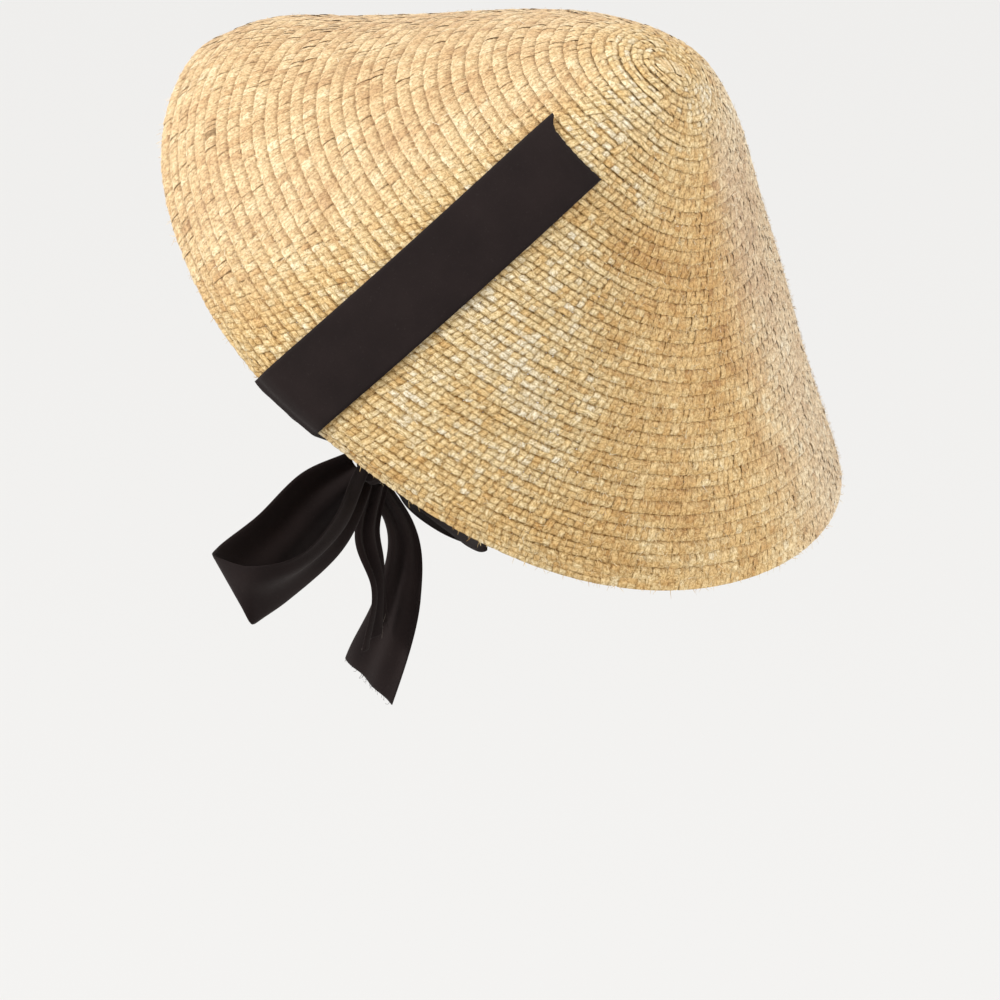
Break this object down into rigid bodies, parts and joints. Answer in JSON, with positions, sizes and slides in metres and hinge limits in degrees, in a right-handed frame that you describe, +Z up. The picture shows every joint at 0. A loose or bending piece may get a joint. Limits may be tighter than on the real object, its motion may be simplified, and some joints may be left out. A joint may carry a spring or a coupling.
{
  "type": "straw hat",
  "caption": "Wide-brim straw hat sewn as one soft shell, with a ribbon down each side that ties in a bow under the chin.",
  "frame": {"origin": "where the inside of the crown rests on the top of the head", "axes": "+Z up from the top of the head, +X to the wearer's left, -Y the way that the face looks"},
  "size_m": [0.3143, 0.3226, 0.3685],
  "materials": {
    "straw_braid": "dry natural straw, sewn in rows of braid",
    "black_ribbon": "matte black woven ribbon"
  },
  "bodies": {
    "root": {"straw_shell": "straw_braid", "ribbon_left": "black_ribbon", "ribbon_right": "black_ribbon", "bow_knot": "black_ribbon", "bow_loop_left": "black_ribbon", "bow_loop_right": "black_ribbon", "bow_tail_left": "black_ribbon", "bow_tail_right": "black_ribbon"}
  },
  "joints": []
}
